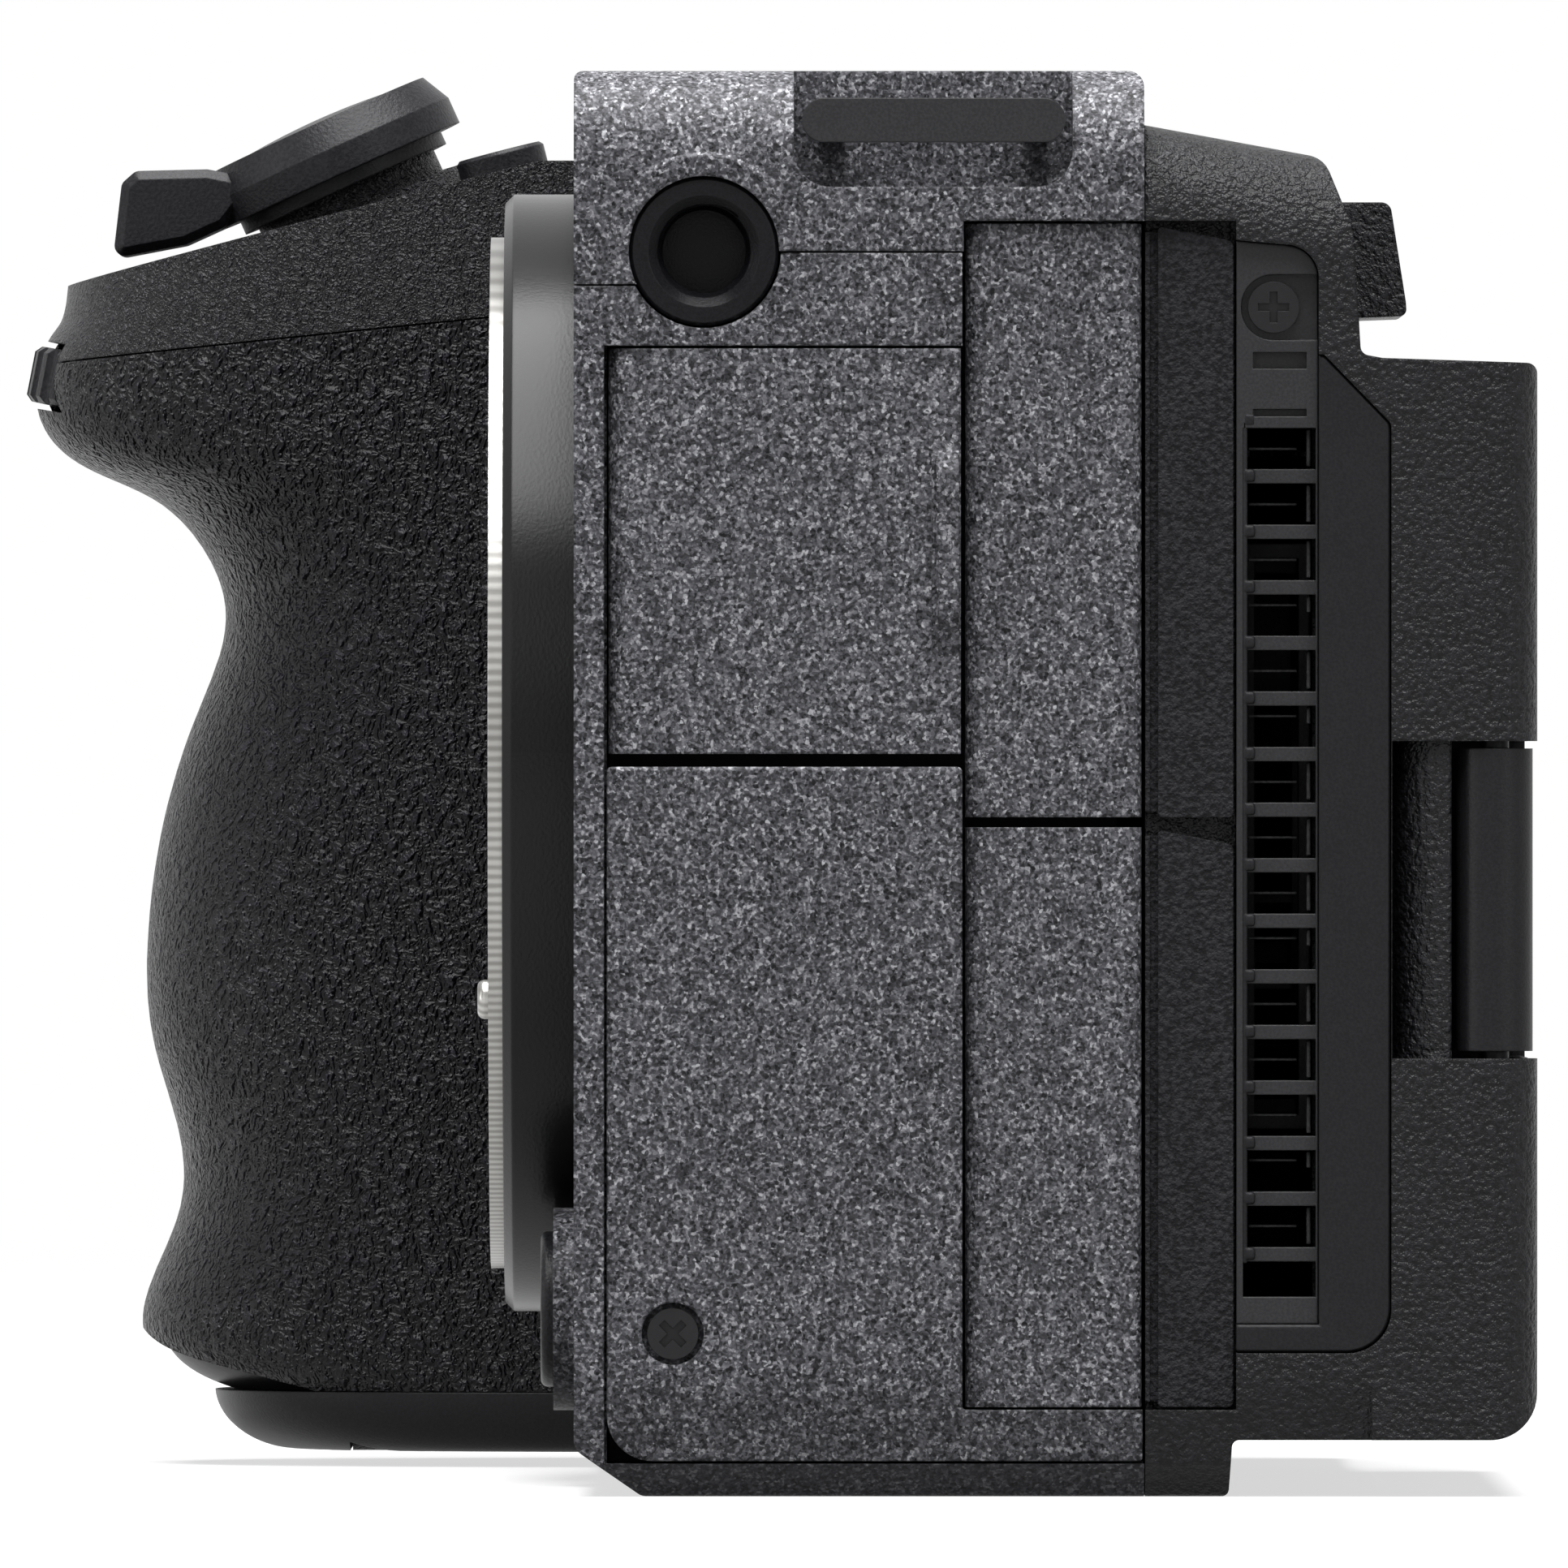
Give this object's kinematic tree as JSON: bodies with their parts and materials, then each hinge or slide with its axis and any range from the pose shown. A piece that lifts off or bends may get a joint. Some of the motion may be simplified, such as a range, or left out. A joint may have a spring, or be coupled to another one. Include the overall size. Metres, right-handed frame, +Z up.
{
  "type": "compact cinema camera body",
  "caption": "Compact full-frame cinema camera body with hand grip, lens mount, port doors, side vent and a side-hinged monitor folded against the back.",
  "frame": {"origin": "mouth of the tripod thread in the base, on the lens axis and under the sensor plane", "axes": "+Z up, -Y the way the lens looks, +X towards the port side, which is the operator's left"},
  "size_m": [0.1303, 0.0845, 0.0793],
  "materials": {
    "grey_paint": "speckled grey satin paint",
    "black_textured_plastic": "fine moulded texture",
    "black_paint": "black matt paint",
    "black_satin_plastic": "smooth satin",
    "leather": "pebbled black leatherette",
    "black_rubber": "fine textured rubber",
    "mount_black": "semi-gloss black enamel",
    "steel": "turned steel",
    "black_steel": "blackened steel",
    "gilt_contacts": "gilt",
    "chassis_metal": "die-cast, matt",
    "circuit_board": "green solder mask",
    "sensor_glass": "coated filter glass",
    "screen_glass": "black cover glass",
    "control_plastic": "black moulded plastic",
    "red_plastic": "red"
  },
  "bodies": {
    "camera": {"front_shell": "grey_paint", "top_cover": "grey_paint", "side_panel": "grey_paint", "rear_shell": "black_textured_plastic", "grip_base_cover": "black_textured_plastic", "grip_top_cover": "black_paint", "vent_grille": "black_paint", "vent_trim": "black_satin_plastic", "fan_housing": "black_satin_plastic", "card_slots": "black_satin_plastic", "battery": "black_satin_plastic", "lens_contact_block": "black_satin_plastic", "grip_housing": "black_satin_plastic", "grip_leather": "leather", "door_strips": "black_rubber", "lens_mount_base": "mount_black", "lens_mount_flange": "steel", "thread_inserts": "steel", "strap_bar": "steel", "accessory_shoe": "steel", "sockets": "steel", "cover_screws": "black_steel", "lens_contacts": "gilt_contacts", "main_chassis": "chassis_metal", "shutter_frame": "chassis_metal", "stabiliser_frame": "chassis_metal", "heat_sink": "chassis_metal", "main_board": "circuit_board"},
    "monitor": {"hinge_arm": "black_steel", "monitor_housing": "black_satin_plastic", "monitor_screen": "screen_glass"},
    "sensor_carriage": {"sensor_stage": "chassis_metal", "image_sensor": "sensor_glass"},
    "audio_door": {"audio_door": "grey_paint"},
    "upper_port_door": {"upper_port_door": "grey_paint"},
    "lower_port_door": {"lower_port_door": "grey_paint"},
    "card_door": {"card_door": "black_textured_plastic"},
    "battery_door": {"battery_door": "black_textured_plastic"},
    "battery_door_latch": {"battery_door_latch": "black_textured_plastic"},
    "lens_release_button": {"lens_release_button": "control_plastic"},
    "lens_lock_pin": {"lens_lock_pin": "steel"},
    "shutter_button": {"shutter_button": "control_plastic"},
    "zoom_lever": {"zoom_lever": "control_plastic"},
    "front_dial": {"front_dial": "control_plastic"},
    "iso_button": {"iso_button": "control_plastic"},
    "balance_button": {"balance_button": "control_plastic"},
    "record_button": {"record_button": "red_plastic"},
    "power_switch": {"power_switch": "control_plastic"},
    "rear_dial": {"rear_dial": "control_plastic"},
    "control_wheel": {"control_wheel": "control_plastic"},
    "centre_button": {"centre_button": "control_plastic"},
    "menu_button": {"menu_button": "control_plastic"},
    "joystick": {"joystick": "control_plastic"},
    "joystick_gimbal": {"joystick_gimbal": "control_plastic"},
    "front_curtain_lead": {"front_curtain_lead": "black_steel"},
    "front_curtain_follow": {"front_curtain_follow": "black_steel"},
    "rear_curtain_lead": {"rear_curtain_lead": "black_steel"},
    "rear_curtain_follow": {"rear_curtain_follow": "black_steel"},
    "stabiliser_carrier": {"stabiliser_carrier": "chassis_metal"},
    "fan_rotor": {"fan_rotor": "black_satin_plastic"}
  },
  "joints": [
    {"name": "monitor_swing", "type": "hinge", "parent": "camera", "child": "monitor", "pos_m": [0.05435, 0.0371, 0.03255], "axis": [0, 0, -1], "range_deg": [0, 176]},
    {"name": "audio_door_swing", "type": "hinge", "parent": "camera", "child": "audio_door", "pos_m": [0.0559, -0.01055, 0.05155], "axis": [0, 0, -1], "range_deg": [0, 90]},
    {"name": "upper_door_swing", "type": "hinge", "parent": "camera", "child": "upper_port_door", "pos_m": [0.0555, 0.0171, 0.0532], "axis": [0, 0, 1], "range_deg": [0, 90]},
    {"name": "lower_door_swing", "type": "hinge", "parent": "camera", "child": "lower_port_door", "pos_m": [0.0555, 0.0171, 0.0207], "axis": [0, 0, 1], "range_deg": [0, 90]},
    {"name": "card_door_swing", "type": "hinge", "parent": "camera", "child": "card_door", "pos_m": [-0.06975, 0.01635, 0.027], "axis": [0, 0, 1], "range_deg": [0, 85]},
    {"name": "battery_door_swing", "type": "hinge", "parent": "camera", "child": "battery_door", "pos_m": [-0.0444, -0.0064, 0.0021], "axis": [0, -1, 0], "range_deg": [0, 95]},
    {"name": "battery_latch_slide", "type": "slide", "parent": "battery_door", "child": "battery_door_latch", "axis": [1, 0, 0], "range_m": [0, 0.0025]},
    {"name": "lens_release_press", "type": "slide", "parent": "camera", "child": "lens_release_button", "axis": [0, 1, 0], "range_m": [0, 0.001], "stiffness_N_per_m": 300, "springref_m": -0.001},
    {"name": "lock_pin_draw", "type": "slide", "parent": "camera", "child": "lens_lock_pin", "axis": [0, 1, 0], "range_m": [0, 0.001]},
    {"name": "shutter_press", "type": "slide", "parent": "camera", "child": "shutter_button", "axis": [0, 0.4131, -0.9107], "range_m": [0, 0.0008], "stiffness_N_per_m": 300, "springref_m": -0.001},
    {"name": "zoom_lever_turn", "type": "hinge", "parent": "camera", "child": "zoom_lever", "pos_m": [-0.055, -0.0277, 0.0751], "axis": [0, -0.4131, 0.9107], "range_deg": [-15, 15], "stiffness_Nm_per_rad": 0.004},
    {"name": "front_dial_turn", "type": "hinge", "parent": "camera", "child": "front_dial", "pos_m": [-0.055, -0.0369, 0.06087], "axis": [0, 0.1908, 0.9816], "continuous": true},
    {"name": "iso_press", "type": "slide", "parent": "camera", "child": "iso_button", "axis": [0, 0.2495, -0.9684], "range_m": [0, 0.0006], "stiffness_N_per_m": 300, "springref_m": -0.001},
    {"name": "balance_press", "type": "slide", "parent": "camera", "child": "balance_button", "axis": [0, 0.2495, -0.9684], "range_m": [0, 0.0006], "stiffness_N_per_m": 300, "springref_m": -0.001},
    {"name": "record_press", "type": "slide", "parent": "camera", "child": "record_button", "axis": [0, 0, -1], "range_m": [0, 0.0006], "stiffness_N_per_m": 300, "springref_m": -0.001},
    {"name": "power_slide", "type": "slide", "parent": "camera", "child": "power_switch", "axis": [1, 0, 0], "range_m": [0, 0.003]},
    {"name": "rear_dial_turn", "type": "hinge", "parent": "camera", "child": "rear_dial", "pos_m": [-0.06, 0.0241, 0.0596], "axis": [0, 0, 1], "continuous": true},
    {"name": "control_wheel_turn", "type": "hinge", "parent": "camera", "child": "control_wheel", "pos_m": [-0.048, 0.03165, 0.027], "axis": [0, 1, 0], "continuous": true},
    {"name": "centre_press", "type": "slide", "parent": "camera", "child": "centre_button", "axis": [0, -1, 0], "range_m": [0, 0.0005], "stiffness_N_per_m": 300, "springref_m": -0.001},
    {"name": "menu_press", "type": "slide", "parent": "camera", "child": "menu_button", "axis": [0, -1, 0], "range_m": [0, 0.0004], "stiffness_N_per_m": 300, "springref_m": -0.001},
    {"name": "stick_up_down", "type": "hinge", "parent": "camera", "child": "joystick_gimbal", "pos_m": [-0.037, 0.0278, 0.0485], "axis": [1, 0, 0], "range_deg": [-8, 8], "stiffness_Nm_per_rad": 0.004},
    {"name": "stick_left_right", "type": "hinge", "parent": "joystick_gimbal", "child": "joystick", "pos_m": [-0.037, 0.0278, 0.0485], "axis": [0, 0, 1], "range_deg": [-8, 8], "stiffness_Nm_per_rad": 0.004},
    {"name": "front_curtain_run", "type": "slide", "parent": "camera", "child": "front_curtain_lead", "axis": [0, 0, 1], "range_m": [0, 0.026]},
    {"name": "front_curtain_trail", "type": "slide", "parent": "camera", "child": "front_curtain_follow", "axis": [0, 0, 1], "range_m": [0, 0.013]},
    {"name": "rear_curtain_run", "type": "slide", "parent": "camera", "child": "rear_curtain_lead", "axis": [0, 0, -1], "range_m": [0, 0.026]},
    {"name": "rear_curtain_trail", "type": "slide", "parent": "camera", "child": "rear_curtain_follow", "axis": [0, 0, -1], "range_m": [0, 0.013]},
    {"name": "stabiliser_up_down", "type": "slide", "parent": "camera", "child": "stabiliser_carrier", "axis": [0, 0, 1], "range_m": [-0.001, 0.001]},
    {"name": "stabiliser_left_right", "type": "slide", "parent": "stabiliser_carrier", "child": "sensor_carriage", "axis": [1, 0, 0], "range_m": [-0.001, 0.001]},
    {"name": "fan_turn", "type": "hinge", "parent": "camera", "child": "fan_rotor", "pos_m": [0.029, 0.0238, 0.036], "axis": [0, 1, 0], "continuous": true}
  ],
  "couplings": [
    {"joint": "lock_pin_draw", "follows": "lens_release_press", "ratio": 1},
    {"joint": "front_curtain_trail", "follows": "front_curtain_run", "ratio": 0.5},
    {"joint": "rear_curtain_trail", "follows": "rear_curtain_run", "ratio": 0.5}
  ]
}
